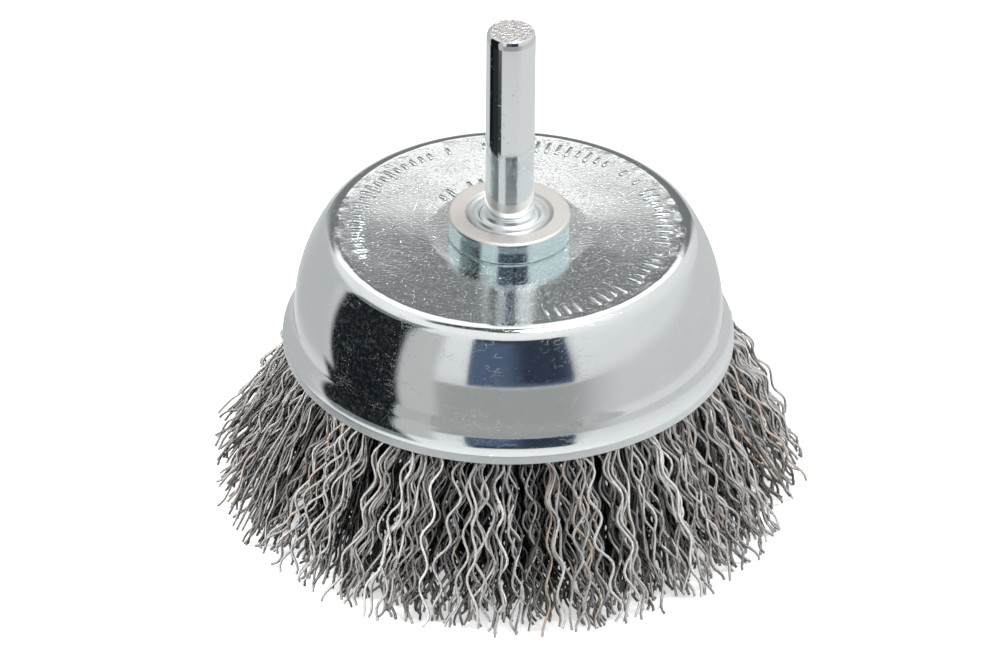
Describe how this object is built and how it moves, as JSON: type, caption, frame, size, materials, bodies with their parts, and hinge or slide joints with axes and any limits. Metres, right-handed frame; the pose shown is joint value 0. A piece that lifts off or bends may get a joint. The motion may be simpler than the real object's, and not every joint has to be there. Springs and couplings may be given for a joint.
{
  "type": "wire cup brush",
  "caption": "Cup brush of crimped steel wire in a domed sheet-metal cup, with a dished collar and a plain round drill shank.",
  "frame": {"origin": "on the turning axis, in the plane of the wire tips that the brush stands on", "axes": "+Z along the turning axis from the wire tips to the free end of the shank"},
  "size_m": [0.0748, 0.0748, 0.0635],
  "materials": {
    "plated_turned": "bright zinc plate over turning marks",
    "plated_sheet": "bright zinc plate on pressed sheet",
    "plain_steel": "plain cold-rolled steel",
    "crimped_wire": "bare drawn steel wire, lightly oiled"
  },
  "bodies": {
    "root": {"shank": "plated_turned", "collar": "plated_turned", "cup": "plated_sheet", "inner_plate": "plain_steel", "core_ring": "plain_steel", "washer": "plain_steel", "wires_01": "crimped_wire", "wires_02": "crimped_wire", "wires_03": "crimped_wire", "wires_04": "crimped_wire", "wires_05": "crimped_wire", "wires_06": "crimped_wire", "wires_07": "crimped_wire", "wires_08": "crimped_wire", "wires_09": "crimped_wire", "wires_10": "crimped_wire", "wires_11": "crimped_wire", "wires_12": "crimped_wire", "wires_13": "crimped_wire", "wires_14": "crimped_wire", "wires_15": "crimped_wire", "wires_16": "crimped_wire"}
  },
  "joints": []
}
